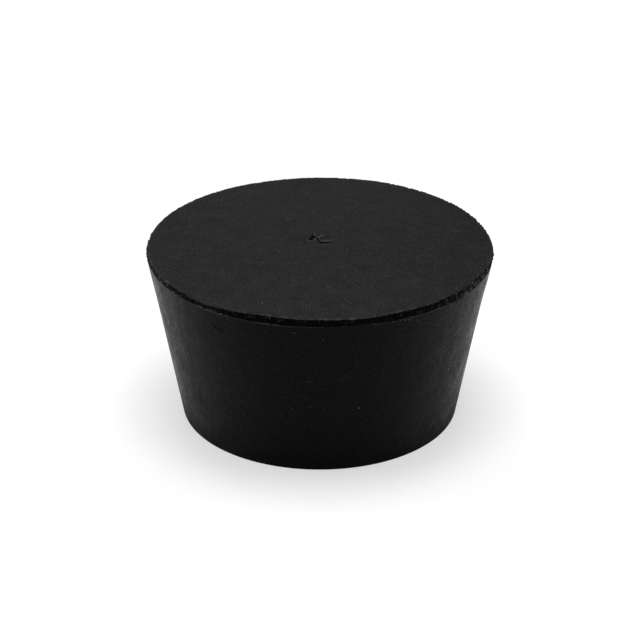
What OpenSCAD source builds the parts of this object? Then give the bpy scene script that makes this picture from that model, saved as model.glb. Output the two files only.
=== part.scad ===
// Solid tapered rubber stopper, moulded in one piece.
// It stands on its small end, with +Z up through the large end. All lengths are in millimetres.
// The large end was moulded on a thin web of rubber. Trimming the web off left a rough band
// right under the top edge, which leans in at its foot to a small ledge of the smooth skin.

/* [Plug] */
// Diameter of the large end, where the taper reaches the top
top_d = 50; // [30:0.5:90]
// Diameter of the small end, before its edge is rounded
base_d = 40.6; // [20:0.1:80]
// Height from the small end's face to the large end's face
height = 25.9; // [15:0.1:60]
// Radius that rounds the small end's edge
base_edge_r = 0.4; // [0.2:0.1:2]

/* [Trimmed rim] */
// Height of the rough band that trimming left under the top edge
rim_h = 1; // [0.6:0.1:3]
// How much higher than that the band's foot lies on the left, and lower on the right
rim_slant = 0.2; // [0:0.05:0.4]
// How far inside the taper the cut runs along the top edge
rim_inset = 0.04; // [0:0.01:0.3]
// How far the cut leans in at its foot, which is the mean width of the ledge there
rim_undercut = 0.16; // [0.05:0.01:0.6]
// How far the cut strays in and out at most on its way round
rim_wander = 0.5; // [0:0.01:0.5]
// How deep the torn grain of the cut is
rim_tear = 0.05; // [0:0.01:0.15]

/* [Moulding scar] */
// Diameter of the raised burr's ring, along the middle of the burr
burr_d = 2.2; // [1:0.1:5]
// Width of the burr where it leaves the top face
burr_w = 0.42; // [0.2:0.02:0.9]
// Height of the burr over the top face
burr_h = 0.15; // [0.05:0.01:0.4]
// How much of the ring the burr goes round
burr_sweep = 250; // [120:5:330]
// Place of the ring's centre to the right of the stopper's axis
burr_x = 0.7; // [-5:0.1:5]
// Place of the ring's centre behind the stopper's axis
burr_y = 1.6; // [-5:0.1:5]
// Length of the torn nick beside the burr
nick_l = 1.5; // [0.5:0.1:4]
// Width of the torn nick
nick_w = 0.5; // [0.2:0.05:1]
// Depth of the torn nick
nick_depth = 0.5; // [0.2:0.1:2]
// Length of the fine split that runs on from the nick
split_l = 1.8; // [0.5:0.1:4]
// Width of the fine split
split_w = 0.2; // [0.1:0.02:0.5]

/* [Hidden] */

rubber = [0.045, 0.045, 0.048];
turn_fn = 180;
small_fn = 32;

// The side is one straight taper from the small end to the top edge.
taper = (top_d - base_d) / 2 / height;
lean = atan(taper);
rim_z = height - rim_h;
function side_r(z) = base_d / 2 + taper * z;

// The outline of the cut has this many corners, each torn in or out by its own amount.
rim_corners = 200;
tear_seed = 11;
tear = rands(-1, 1, rim_corners, tear_seed);

// The burr opens to the right, and the nick lies on its closed left side.
burr_start = 60;
nick_gap = 0.75;
nick_turn = 58;
split_turn = 94;

// Where the hand-fed cut strays: the middle of each stray and how far it spreads, both in degrees
// anticlockwise from the right, and its share of rim_wander, outwards or inwards.
strays = [
    [14, 11, -0.25],
    [68, 12, 0.34],
    [90, 6, 0.15],
    [108, 7, -0.18],
    [166, 10, -0.24],
    [184, 8, -0.08],
    [232, 6, 0.65],
    [254, 9, -1],
    [269, 7, -0.5],
    [278, 6, -0.15],
    [296, 7, -0.4],
    [318, 5, -0.2],
    [332, 8, -0.25],
    [357, 7, 0.2]
];

// Turn from one angle to another the short way round, in degrees.
function turn_between(a, b) = abs((a - b + 540) % 360 - 180);

// How far the cut strays at one angle, as a share of rim_wander.
function drift(a, i = 0) =
    i == len(strays) ? 0
    : strays[i][2] * exp(-pow(turn_between(a, strays[i][0]) / strays[i][1], 2)) + drift(a, i + 1);

// Radius of the cut's outline at one corner: it drifts in and out and is finely torn.
rim_mean_r = top_d / 2 - rim_inset;
function rim_r(i) = rim_mean_r + rim_wander * drift(360 * i / rim_corners) + rim_tear * tear[i];

// Where the small end's rounding leaves the base and meets the side.
base_arc_r = side_r(0) - base_edge_r * tan(45 - lean / 2);
base_arc_steps = 6;

// The ledge lies in a plane that is slanted about the Y axis.
slant_turn = atan(2 * rim_slant / top_d);
// The cut leans out from the ledge by this much for each millimetre up, so far that it clears the
// furthest outward stray at the top edge.
outward_share = 0.8;
foot_r = side_r(rim_z) - rim_undercut;
cut_slope = (rim_mean_r + outward_share * rim_wander + rim_tear - foot_r) / rim_h;
// The band reaches this far down into the skin, so that the two are one solid.
sunk = 0.3;

// Smooth moulded skin, from the small end's face to the ledge under the trimmed band.
module skin() {
    difference() {
        rotate_extrude($fn = turn_fn)
            polygon(concat(
                [[0, 0]],
                [for (i = [0:base_arc_steps])
                    let (a = -90 + i * (90 - lean) / base_arc_steps)
                    [base_arc_r + base_edge_r * cos(a), base_edge_r * (1 + sin(a))]],
                [[side_r(height), height], [0, height]]
            ));
        translate([0, 0, rim_z])
            rotate([0, slant_turn, 0])
                translate([-top_d, -top_d, 0])
                    cube([2 * top_d, 2 * top_d, 4 * rim_h]);
    }
}

// Rough band up to the flat of the large end: its foot leans in from below the ledge, and its top
// follows the torn outline.
module trimmed_rim() {
    intersection() {
        translate([0, 0, rim_z - rim_slant - 2 * sunk])
            linear_extrude(rim_h + rim_slant + 2 * sunk)
                polygon([for (i = [0:rim_corners - 1])
                    let (a = 360 * i / rim_corners)
                    [rim_r(i) * cos(a), rim_r(i) * sin(a)]]);
        translate([0, 0, rim_z])
            rotate([0, slant_turn, 0])
                translate([0, 0, -sunk])
                    cylinder(h = 2 * rim_h + sunk, r1 = foot_r - cut_slope * sunk,
                        r2 = foot_r + cut_slope * 2 * rim_h, $fn = turn_fn);
    }
}

// Burr left standing where the moulding's vent pip was torn off.
module burr() {
    // A round cord of this radius, sunk so that burr_w and burr_h show.
    cord_r = (burr_w * burr_w / 4 + burr_h * burr_h) / (2 * burr_h);
    translate([burr_x, burr_y, height + burr_h - cord_r])
        rotate(burr_start)
            rotate_extrude(angle = burr_sweep, $fn = small_fn)
                translate([burr_d / 2, 0])
                    circle(cord_r, $fn = small_fn);
}

// Lens-shaped cut with two pointed ends, down from the top face.
module lens(length, width, depth) {
    r = (length * length / 4 + width * width / 4) / width;
    translate([0, 0, height - depth])
        intersection_for(side = [-1, 1])
            translate([side * (r - width / 2), 0])
                cylinder(h = depth + 1, r = r, $fn = turn_fn);
}

// Torn nick beside the burr, with a fine split running back from it.
module nick() {
    translate([burr_x - burr_d / 2 - nick_gap, burr_y + nick_l / 4, 0]) {
        rotate(nick_turn - 90) lens(nick_l, nick_w, nick_depth);
        translate([nick_l * cos(nick_turn) / 2, nick_l * sin(nick_turn) / 2, 0])
            rotate(split_turn - 90) translate([0, split_l / 3, 0]) lens(split_l, split_w, nick_depth);
    }
}

module stopper() {
    color(rubber)
        difference() {
            union() {
                skin();
                trimmed_rim();
                burr();
            }
            nick();
        }
}

stopper();
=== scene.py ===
import math
import random

import bpy
import numpy as np
from bpy.props import FloatProperty, FloatVectorProperty, IntProperty, PointerProperty
from bpy.types import Operator, Panel, PropertyGroup
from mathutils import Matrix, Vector, noise


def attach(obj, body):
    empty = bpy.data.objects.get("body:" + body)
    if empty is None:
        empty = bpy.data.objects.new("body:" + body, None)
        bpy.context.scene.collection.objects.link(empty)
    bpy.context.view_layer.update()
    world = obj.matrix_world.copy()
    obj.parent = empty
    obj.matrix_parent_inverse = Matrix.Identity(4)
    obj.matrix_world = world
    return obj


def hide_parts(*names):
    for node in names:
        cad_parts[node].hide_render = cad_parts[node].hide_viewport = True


bl_info = {
    "name": "Rubber Stopper",
    "version": (1, 0, 0),
    "blender": (4, 5, 0),
    "location": "View3D > Sidebar > Stopper",
    "description": "Models the torn rim, moulding scar, lint and rubber finish of a laboratory stopper",
    "category": "Object",
}

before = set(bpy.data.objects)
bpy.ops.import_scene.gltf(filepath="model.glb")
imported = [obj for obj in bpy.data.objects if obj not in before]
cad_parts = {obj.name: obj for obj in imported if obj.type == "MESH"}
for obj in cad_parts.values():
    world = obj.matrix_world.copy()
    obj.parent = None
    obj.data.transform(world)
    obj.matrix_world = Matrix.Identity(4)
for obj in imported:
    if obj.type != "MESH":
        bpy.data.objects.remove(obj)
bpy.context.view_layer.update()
MM = 0.001
WHITE = (1.0, 1.0, 1.0, 1.0)


# ---------------------------------------------------------------- sizes and finishes


class StopperSizes(PropertyGroup):
    """Sizes of the moulded plug."""

    top_d: FloatProperty(
        name="Large End", description="Diameter where the taper reaches the top",
        default=50 * MM, min=0.03, max=0.09, subtype="DISTANCE")
    base_d: FloatProperty(
        name="Small End", description="Diameter of the small end before its edge is rounded",
        default=40.6 * MM, min=0.02, max=0.08, subtype="DISTANCE")
    height: FloatProperty(
        name="Height", description="From the small end's face to the large end's face",
        default=25.9 * MM, min=0.015, max=0.06, subtype="DISTANCE")
    base_edge_r: FloatProperty(
        name="Small End Rounding", description="Radius that rounds the small end's edge",
        default=0.4 * MM, min=0.0002, max=0.002, subtype="DISTANCE")
    columns: IntProperty(
        name="Columns",
        description="Faces round the plug below the torn rim, which has four times as many",
        default=640, min=128, max=640)


class StopperRim(PropertyGroup):
    """Sizes of the rough band that trimming left."""

    rim_h: FloatProperty(
        name="Band Height", description="Height of the rough band under the top edge",
        default=1.0 * MM, min=0.0006, max=0.003, subtype="DISTANCE")
    slant: FloatProperty(
        name="Slant",
        description="How much higher the band's foot lies on the left, and lower on the right",
        default=0.2 * MM, min=0.0, max=0.0005, subtype="DISTANCE")
    inset: FloatProperty(
        name="Inset", description="How far inside the taper the cut runs along the top edge",
        default=0.04 * MM, min=0.0, max=0.0003, subtype="DISTANCE")
    undercut: FloatProperty(
        name="Undercut", description="Mean width of the ledge at the cut's foot",
        default=0.16 * MM, min=0.00005, max=0.0006, subtype="DISTANCE")
    wander: FloatProperty(
        name="Wander", description="How far the cut strays in and out on its way round",
        default=0.5 * MM, min=0.0, max=0.0005, subtype="DISTANCE")
    tear: FloatProperty(
        name="Tear", description="Depth of the torn grain of the cut",
        default=0.17 * MM, min=0.0, max=0.0003, subtype="DISTANCE")
    edge_nick: FloatProperty(
        name="Edge Nicks", description="Depth of the small nicks in the top edge",
        default=0.22 * MM, min=0.0, max=0.0003, subtype="DISTANCE")
    flare: FloatProperty(
        name="Flare", description="How far the side flares out under the lip at the right and the left",
        default=0.16 * MM, min=0.0, max=0.0004, subtype="DISTANCE")
    lip: FloatProperty(
        name="Lip", description="Width of the rounded lip where the skin meets the ledge",
        default=0.09 * MM, min=0.0, max=0.0003, subtype="DISTANCE")


class StopperScar(PropertyGroup):
    """Sizes of the moulding scar on the large end."""

    burr_x: FloatProperty(
        name="Burr Right", description="Place of the burr's ring to the right of the axis",
        default=0.7 * MM, min=-0.005, max=0.005, subtype="DISTANCE")
    burr_y: FloatProperty(
        name="Burr Back", description="Place of the burr's ring behind the axis",
        default=1.6 * MM, min=-0.005, max=0.005, subtype="DISTANCE")
    burr_r: FloatProperty(
        name="Burr Radius", description="Radius of the ring that the burr follows",
        default=1.1 * MM, min=0.0005, max=0.0025, subtype="DISTANCE")
    burr_w: FloatProperty(
        name="Burr Width", description="Width of the burr at the face",
        default=0.42 * MM, min=0.0002, max=0.001, subtype="DISTANCE")
    burr_h: FloatProperty(
        name="Burr Height", description="Height of the burr over the face",
        default=0.095 * MM, min=0.00005, max=0.0004, subtype="DISTANCE")
    nick_depth: FloatProperty(
        name="Nick Depth", description="Depth of the torn nick beside the burr",
        default=0.5 * MM, min=0.0001, max=0.002, subtype="DISTANCE")
    patch: FloatProperty(
        name="Patch", description="Width of the finely meshed square round the scar",
        default=4.8 * MM, min=0.004, max=0.012, subtype="DISTANCE")


class StopperLooks(PropertyGroup):
    """Colours and finish of the rubber and of what lies on it."""

    skin: FloatVectorProperty(
        name="Moulded Side", description="Colour of the moulded skin of the side",
        default=(0.0036, 0.0036, 0.0036), size=3, min=0, max=1, subtype="COLOR")
    face: FloatVectorProperty(
        name="Large End", description="Colour of the large end's face",
        default=(0.0034, 0.0034, 0.0034), size=3, min=0, max=1, subtype="COLOR")
    # This colour also lays painted shade in the scar's holes, cracks and inner line.
    torn: FloatVectorProperty(
        name="Torn Rubber", description="Colour of the rough band",
        default=(0.0008, 0.0008, 0.0008), size=3, min=0, max=1, subtype="COLOR")
    # This colour serves dust and also the painted highlights on the lip, the top edge, the torn band and
    # the scar.
    dust_and_highlight: FloatVectorProperty(
        name="Scuffs", description="Colour of chafed edges and dust",
        default=(0.11, 0.11, 0.11), size=3, min=0, max=1, subtype="COLOR")
    lint: FloatVectorProperty(
        name="Lint", description="Colour of the tangled fibres and the specks",
        default=(0.3, 0.3, 0.3), size=3, min=0, max=1, subtype="COLOR")
    hair: FloatVectorProperty(
        name="Hairs", description="Colour of the finest fibres",
        default=(0.13, 0.13, 0.13), size=3, min=0, max=1, subtype="COLOR")
    dark_hair: FloatVectorProperty(
        name="Dark Hair", description="Colour of the one dark hair on the side",
        default=(0.001, 0.001, 0.001), size=3, min=0, max=1, subtype="COLOR")
    skin_rough: FloatProperty(
        name="Side Roughness", description="Roughness of the side halfway up",
        default=0.325, min=0, max=1)
    face_rough: FloatProperty(
        name="Face Roughness", description="Roughness of the large end's face",
        default=0.65, min=0, max=1)
    torn_rough: FloatProperty(
        name="Torn Roughness", description="Roughness of the rough band",
        default=0.95, min=0, max=1)
    gloss: FloatProperty(
        name="Gloss", description="Specular level of the rubber",
        default=0.03, min=0, max=1)


class StopperStage(PropertyGroup):
    """Floor, lamps and camera."""

    lens: FloatProperty(
        name="Lens", description="Focal length of the camera",
        default=122.83 * MM, min=0.02, max=0.3, unit="CAMERA")
    camera_side: FloatProperty(
        name="Camera Side", description="How far the camera stands to the right of the axis",
        default=0.055 * MM, min=-1, max=1, subtype="DISTANCE")
    camera_back: FloatProperty(
        name="Camera Back", description="How far the camera stands in front of the axis",
        default=287.34 * MM, min=0.05, max=3, subtype="DISTANCE")
    camera_up: FloatProperty(
        name="Camera Up", description="Height of the camera over the floor",
        default=156.5 * MM, min=0.0, max=3, subtype="DISTANCE")
    camera_tilt: FloatProperty(
        name="Camera Tilt", description="How far the camera looks down from level",
        default=math.radians(26.43), min=0, max=1.5, subtype="ANGLE")
    lamp_reach: FloatProperty(
        name="Lamp Reach", description="How far the lamps stand from the stopper",
        default=0.9, min=0.3, max=3, subtype="DISTANCE")
    floor_tone: FloatProperty(
        name="Floor",
        description="How pale the floor is for the light that it throws back on the object",
        default=0.8, min=0, max=1)
    floor_seen: FloatProperty(
        name="Floor Where Seen", description="How pale the floor is where it is seen, under its glow",
        default=0.46, min=0, max=1)
    floor_glow: FloatProperty(
        name="Floor Glow",
        description="White that the floor adds where it is seen, and not to the light",
        default=0.605, min=0, max=1)


# ---------------------------------------------------------------- helpers for modelling


def clear_selection():
    if bpy.context.mode != "OBJECT":
        bpy.ops.object.mode_set(mode="OBJECT")
    bpy.ops.object.select_all(action="DESELECT")


def select_only(piece):
    clear_selection()
    bpy.context.view_layer.objects.active = piece
    piece.select_set(True)


def finish_piece(piece, material, replaces=None):
    """Puts the piece's place into its mesh, dresses it and fixes it to the stopper's body."""
    select_only(piece)
    bpy.ops.object.transform_apply(location=True, rotation=True, scale=True)
    piece.data.materials.clear()
    piece.data.materials.append(material)
    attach(piece, "root")
    if replaces:
        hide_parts(replaces)


def draw_outline(points):
    """One vertex at the first point, extruded on from point to point, in edit mode."""
    bpy.ops.mesh.primitive_plane_add(size=MM, location=points[0])
    bpy.ops.object.mode_set(mode="EDIT")
    bpy.ops.mesh.select_all(action="SELECT")
    bpy.ops.mesh.merge(type="CENTER")
    for a, b in zip(points, points[1:]):
        bpy.ops.mesh.extrude_region_move(
            TRANSFORM_OT_translate={"value": Vector(b) - Vector(a)})


def smooth_step(low, high, x):
    t = np.clip((x - low) / (high - low), 0, 1)
    return t * t * (3 - 2 * t)


def grain(points, size, octaves=1, seed=0.0):
    """Even noise, about -1 to 1, whose bumps are about size wide."""
    shift = Vector((seed * 17.3, seed * 5.1, seed * 9.7))
    out = np.empty(len(points))
    for i, p in enumerate(points):
        q = Vector(p) / size + shift
        total, gain = 0.0, 1.0
        for _ in range(octaves):
            total += gain * noise.noise(q)
            q = q * 2.03
            gain *= 0.5
        out[i] = total
    # One octave of this noise seldom passes 0.7 either way.
    return out * 1.4


def crumbs(points, size, seed=0.0):
    """Rounded lumps about size wide with sharp gaps: up to 1 on a lump and about -1 in a gap."""
    shift = Vector((seed * 3.1, seed * 7.7, seed * 1.3))
    out = np.empty(len(points))
    for i, p in enumerate(points):
        near = noise.voronoi(Vector(p) / size + shift)[0]
        out[i] = 1 - 1.6 * near[0] - 0.7 * max(0.0, 1 - 5 * (near[1] - near[0]))
    return out


# ---------------------------------------------------------------- the moulded plug


def taper(sizes):
    return (sizes.top_d - sizes.base_d) / 2 / sizes.height


def side_r(sizes, z):
    return sizes.base_d / 2 + taper(sizes) * z


# Each table gives places round the stopper: the middle of the place and how far it spreads, both in
# degrees anticlockwise from the right, and its share.
# Where the hand-fed cut strays outwards or inwards, as shares of the rim's wander.
STRAYS = (
    (14, 11, -0.25), (68, 12, 0.34), (90, 6, 0.15), (108, 7, -0.18), (166, 10, -0.24), (184, 8, -0.08),
    (232, 6, 0.65), (254, 9, -1), (269, 7, -0.5), (278, 6, -0.15), (296, 7, -0.4), (318, 5, -0.2),
    (332, 8, -0.25), (350, 7, 0.28), (2, 5, -0.04))
# Where the side flares out a little under the lip, as shares of the rim's flare.
FLARES = ((349, 15, 1.25), (187, 7, 0.6))
# Where the ledge dips below its slanted plane, in millimetres.
LEDGE_DIPS = ((218, 6, 0.14), (252, 14, 0.11), (296, 5, 0.08), (322, 10, 0.16))
# Where the lip is most ragged, where the top edge has sharp bites, and where it is nearly whole.
RAGGED_LIP = ((236, 9, 1),)
SHARP_BITES = ((248, 4, 1), (316, 4, 0.5), (334, 5, 0.7))
WHOLE_EDGE = ((352, 10, 0.85),)
# Painted highlights along the lip and the top edge, and the band's pale crumbs, which are partly dust
# and partly painted highlight.
LIP_HIGHLIGHT = (
    (215, 6, 0.45), (230, 5, 0.42), (237, 4, 0.6), (252, 9, 0.1), (288, 5, 0.2), (302, 3, 0.15),
    (311, 4, 0.75), (319, 4, 0.35), (327, 4, 0.5), (341, 7, 0.75), (201, 6, 0.3))
EDGE_HIGHLIGHT = ((195, 14, 0.5), (211, 7, 0.5), (256, 22, 0.55), (290, 22, 0.5), (346, 10, 0.6))
BAND_DUST_AND_HIGHLIGHT = (
    (203, 6, 0.85), (212, 5, 0.55), (219, 5, 0.2), (232, 6, 0.2), (252, 8, 0.09), (278, 4, 0.04),
    (302, 5, 0.05), (320, 6, 0.35), (331, 8, 0.9), (343, 7, 0.65))

# The cut leans out from its foot so far that it clears this share of the wander at the top edge.
OUTWARD = 0.72
# How far down from the ledge the side flares.
FLARE_H = 7.5 * MM
# Radius of the ring that the rim's noise is read on, in millimetres.
RING_R = 25

# How finely the plug is meshed: steps round the small end's edge, levels up the side, rows up the
# torn band, and how many times each edge that runs round the band is cut.
BASE_ARC_STEPS = 6
SIDE_LEVELS = 12
BAND_ROWS = 14
BAND_CUTS = 3
# Rings on the small end, as shares of its flat radius, and on the large end, in millimetres inside
# its edge.
BASE_RINGS = (0, 0.35, 0.7, 0.93)
FLAT_RINGS = (0.14, 0.35, 0.8, 2, 4, 7, 10.5, 14.5)
# Places closer together than this are one place.
TINY = 1e-7
# Edges that bend by less than this are shaded smooth.
SMOOTH_ANGLE = math.radians(38)


def turn_between(a, b):
    """Turn from one angle to another the short way round, in degrees."""
    return np.abs((a - b + 540) % 360 - 180)


def bump_round(turn, middle, spread):
    """A soft bump, 1 at the middle angle, in degrees round the stopper."""
    return np.exp(-(turn_between(turn, middle) / spread) ** 2)


def bumps_round(turn, bumps):
    """The sum of soft bumps round the stopper, each with its middle, spread and share."""
    return sum(share * bump_round(turn, middle, spread) for middle, spread, share in bumps)


def rim_heights(sizes, rim):
    """Height of the ledge, mean radius of the cut at the top edge, and its radius at the foot."""
    rim_z = sizes.height - rim.rim_h
    return rim_z, sizes.top_d / 2 - rim.inset, side_r(sizes, rim_z) - rim.undercut


def leaning_r(rim, mean_r, foot_r, up):
    """Radius of the leaning foot of the cut, at a share of the band's height."""
    return foot_r + (mean_r + OUTWARD * rim.wander - foot_r) * up


def on_flat(sizes, z):
    """True for heights on the flat of the large end."""
    return z > sizes.height - 0.002 * MM


def plug_outline(sizes, rim):
    """Half section of the plug from the middle of the small end to the flat of the large end."""
    lean = math.atan(taper(sizes))
    r = sizes.base_edge_r
    arc_x = side_r(sizes, 0) - r * math.tan(math.pi / 4 - lean / 2)
    points = [(arc_x * share, 0) for share in BASE_RINGS]
    for i in range(BASE_ARC_STEPS + 1):
        a = -math.pi / 2 + i * (math.pi / 2 - lean) / BASE_ARC_STEPS
        points.append((arc_x + r * math.cos(a), r * (1 + math.sin(a))))

    # Levels up the straight side are closer together under the lip, which rounds on to the ledge.
    rim_z, mean_r, foot_r = rim_heights(sizes, rim)
    low, high = points[-1][1], rim_z - 0.6 * MM
    levels = [low + (high - low) * t / SIDE_LEVELS for t in range(1, SIDE_LEVELS + 1)]
    levels += [rim_z - lips * rim.lip for lips in (3.2, 2, 1)]
    points += [(side_r(sizes, z), z) for z in levels]
    ledge_r = side_r(sizes, rim_z)
    points += [(ledge_r - 0.25 * rim.lip, rim_z - 0.35 * rim.lip), (ledge_r - 0.7 * rim.lip, rim_z)]

    # The band starts a hair over the ledge and ends at the bevel of the top edge.
    bevel = 0.04 * MM
    band_low, band_h = rim_z + 0.02 * MM, rim.rim_h - 0.06 * MM
    for i in range(BAND_ROWS):
        up = i / BAND_ROWS
        points.append((foot_r + (mean_r - foot_r) * up, band_low + band_h * up))
    points += [(mean_r, sizes.height - bevel), (mean_r - bevel, sizes.height)]
    points += [(mean_r - d * MM, sizes.height) for d in FLAT_RINGS]
    return points


def ring_points(turn):
    """Points on a ring about as wide as the large end, in millimetres, to read the rim's noise at."""
    a = np.radians(turn)
    return np.stack([RING_R * np.cos(a), RING_R * np.sin(a), np.zeros(len(a))], 1)


def edge_bites(turn):
    """Share of the full depth, 0 to 1, that the small sharp bites out of the top edge reach."""
    ring = ring_points(turn)
    often = smooth_step(-0.5, 0.6, grain(ring, 5, 1, 13.0))
    large = smooth_step(0.18, 0.34, grain(ring, 0.7, 2, 7.0))
    small = smooth_step(0.1, 0.3, grain(ring, 0.3, 1, 6.0))
    sharp = smooth_step(0.05, 0.15, grain(ring, 0.45, 1, 17.0))
    sharp = sharp * np.clip(bumps_round(turn, SHARP_BITES), 0, 1)
    return np.maximum((0.35 + 0.65 * often) * (0.65 * large + 0.35 * small), sharp)


def tear_rim(co, sizes, rim):
    """Moves the vertices of the band, the ledge and the top edge to the torn shape.

    Returns the places and two masks: how torn each vertex is, and how much pale dust and painted
    highlight it takes.
    """
    turn = np.degrees(np.arctan2(co[:, 1], co[:, 0])) % 360
    r = np.hypot(co[:, 0], co[:, 1])
    z = co[:, 2].copy()
    rim_z, mean_r, foot_r = rim_heights(sizes, rim)
    slack = 0.005 * MM
    flat = on_flat(sizes, z)
    high = z > rim_z + slack
    band = high & (r > foot_r - slack) & ~flat
    top = flat & (r > mean_r - 6 * MM)
    skin = ~high & (r > sizes.base_d / 2 - 0.1 * MM) & (z > rim_z - FLARE_H)
    slope = rim.slant * np.cos(np.radians(turn)) + MM * bumps_round(turn, LEDGE_DIPS)
    swing = rim.wander * bumps_round(turn, STRAYS)
    bites = rim.edge_nick * edge_bites(turn) * (1 - bumps_round(turn, WHOLE_EDGE))
    torn = band.astype(float)
    dust_and_highlight = np.zeros(len(co))

    # The cut leans in at its foot, bends softly, and stands upright near the top edge.
    up = (z[band] - rim_z) / rim.rim_h
    upright = mean_r + swing[band]
    leaning = leaning_r(rim, mean_r, foot_r, up)
    bend = 0.05 * MM
    h = np.clip(0.5 + 0.5 * (upright - leaning) / bend, 0, 1)
    cut = upright * (1 - h) + leaning * h - bend * h * (1 - h)
    pts = co[band] / MM
    shape = 0.35 * grain(pts, 1.1, 2, 1.0) + 0.6 * crumbs(pts, 0.5, 2.0) + 0.4 * crumbs(pts, 0.24, 3.0)
    hold = 0.3 + 0.7 * np.sqrt(np.sin(np.pi * np.clip(up, 0.02, 0.98)))
    r[band] = cut + rim.tear * shape * hold - bites[band] * smooth_step(0.45, 1, up)
    z[band] += rim.tear * 0.4 * grain(pts, 0.35, 1, 5.0) * hold - slope[band] * (1 - up)
    # Pale crumb tips on the band: partly dust, partly painted highlight where the lumps would catch the
    # light.
    level = 0.03 + bumps_round(turn[band], BAND_DUST_AND_HIGHLIGHT)
    patchy = np.clip(0.7 + 0.9 * grain(pts, 0.9, 2, 18.0), 0, 2)
    dust_and_highlight[band] = level * (0.12 + patchy * 2.6 * smooth_step(0.12, 0.75, shape))

    # The top edge follows the cut, with small bites, and the move fades out over the flat.
    inward = mean_r - r[top]
    close = 1 - smooth_step(0, 0.35 * MM, inward)
    r[top] += swing[top] * (1 - smooth_step(0, 4 * MM, inward)) - close * bites[top]
    ring = ring_points(turn[top])
    z[top] -= close * 0.02 * MM * (1 - grain(ring, 0.5, 1, 8.0))
    # Painted highlight: a pale line along the top edge, fading out between 0.15 and 0.55 mm inside it.
    edge_highlight = 0.35 + 1.5 * np.clip(grain(ring, 0.7, 3, 15.0), 0, 1)
    edge_highlight = bumps_round(turn[top], EDGE_HIGHLIGHT) * edge_highlight
    dust_and_highlight[top] = 0.5 * np.clip(edge_highlight, 0, 1) * (1 - smooth_step(0.15 * MM, 0.55 * MM, inward))

    # The skin flares a little and ends in a ragged lip that follows the slant of the cut.
    near = smooth_step(rim_z - 4 * MM, rim_z - 0.1 * MM, z[skin])
    lip = smooth_step(rim_z - 3 * rim.lip, rim_z, z[skin])
    ring = ring_points(turn[skin])
    rag = grain(ring, 0.8, 3, 9.0)
    ragged = bumps_round(turn[skin], RAGGED_LIP)
    waver = 0.03 * rag + 0.05 * grain(ring, 9, 1, 10.0) + 0.1 * ragged * rag
    z[skin] += lip * MM * waver - slope[skin] * near
    flare = rim.flare * bumps_round(turn[skin], FLARES)
    r[skin] += flare * smooth_step(rim_z - FLARE_H, rim_z - 0.5 * MM, z[skin])
    r[skin] += lip * MM * (0.012 * rag + 0.04 * ragged) - taper(sizes) * slope[skin] * near
    # Painted highlight: a pale line along the lip where it meets the ledge.
    painted_highlight = (0.22 + bumps_round(turn[skin], LIP_HIGHLIGHT)) * (0.75 + 0.5 * grain(ring, 0.6, 2, 12.0))
    dust_and_highlight[skin] = smooth_step(0.5, 0.9, lip) * np.clip(painted_highlight, 0, 1)

    out = co.copy()
    out[:, 0] = r * np.cos(np.radians(turn))
    out[:, 1] = r * np.sin(np.radians(turn))
    out[:, 2] = z
    return out, torn, dust_and_highlight


# ---------------------------------------------------------------- the moulding scar


def line_gap(x, y, points):
    """Distance from each place to a bent line through points given in millimetres."""
    x, y = x / MM, y / MM
    nearest = np.full(len(x), 1e3)
    for (ax, ay), (bx, by) in zip(points, points[1:]):
        lx, ly = bx - ax, by - ay
        t = np.clip(((x - ax) * lx + (y - ay) * ly) / (lx * lx + ly * ly), 0, 1)
        nearest = np.minimum(nearest, np.hypot(x - ax - t * lx, y - ay - t * ly))
    return nearest * MM


def stroke(x, y, points, width):
    """1 on a bent line, falling softly away from it to nothing about a width away."""
    return np.exp(-(line_gap(x, y, points) / (width * MM)) ** 2)


def strokes(x, y, lines):
    """Strokes along several lines, each line with the width and the strength of its stroke."""
    return [strength * stroke(x, y, points, width) for points, width, strength in lines]


# The scar's lines, in millimetres to the right of the axis and behind it. The burr's ring is cracked
# at the front left, and has a fine line inside it: a shallow groove darkened with painted shade.
CRACK_HOOK = ((-0.35, 1.8), (-0.26, 1.35), (-0.05, 0.88))
CRACK = ((-0.05, 0.88), (0.25, 0.6), (0.65, 0.48), (1.1, 0.5))
CRACK_TAIL = ((1.1, 0.52), (1.7, 0.7))
INNER_LINE = ((0.1, 1.7), (0.25, 2.18), (0.54, 2.36), (0.85, 2.48), (1.41, 2.38))
# Two holes joined by a waist, with torn tips, and the raised fold and saddle beside them.
HOLES = ((-1.36, 1.8), (-0.95, 2.72))
WAIST = ((-1.3, 2.35), (-1.05, 2.2))
TIP_BACK = ((-0.96, 2.75), (-0.94, 3.4))
TIP_RIGHT = ((-0.9, 2.62), (-0.56, 2.44))
FOLD = ((-0.7, 3.0), (-0.72, 3.5), (-0.86, 4.05))
SADDLE = ((-0.62, 1.7), (-0.5, 1.0))
# Lines that carry only painted highlights, with no relief of their own.
PALE_RIDGE = ((0.3, 2.8), (0.45, 2.88), (0.6, 2.9))
PALE_CREST = ((-0.45, 2.34), (-0.04, 2.57), (0.3, 2.75))
PALE_INSIDE = ((-0.06, 2.4), (-0.02, 1.75))
PALE_FLOOR = ((0.2, 1.24), (0.34, 1.02), (0.74, 0.95), (1.17, 1.06), (1.5, 1.25))
PALE_SPOT = ((-1.66, 1.6), (-1.58, 1.35))
# Each line with the width of its stroke in millimetres, and its strength.
CRACKS = ((CRACK_HOOK, 0.14, 1), (CRACK, 0.18, 1), (CRACK_TAIL, 0.1, 0.55))
TIPS = ((TIP_BACK, 0.09, 1), (TIP_RIGHT, 0.1, 1))
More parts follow.
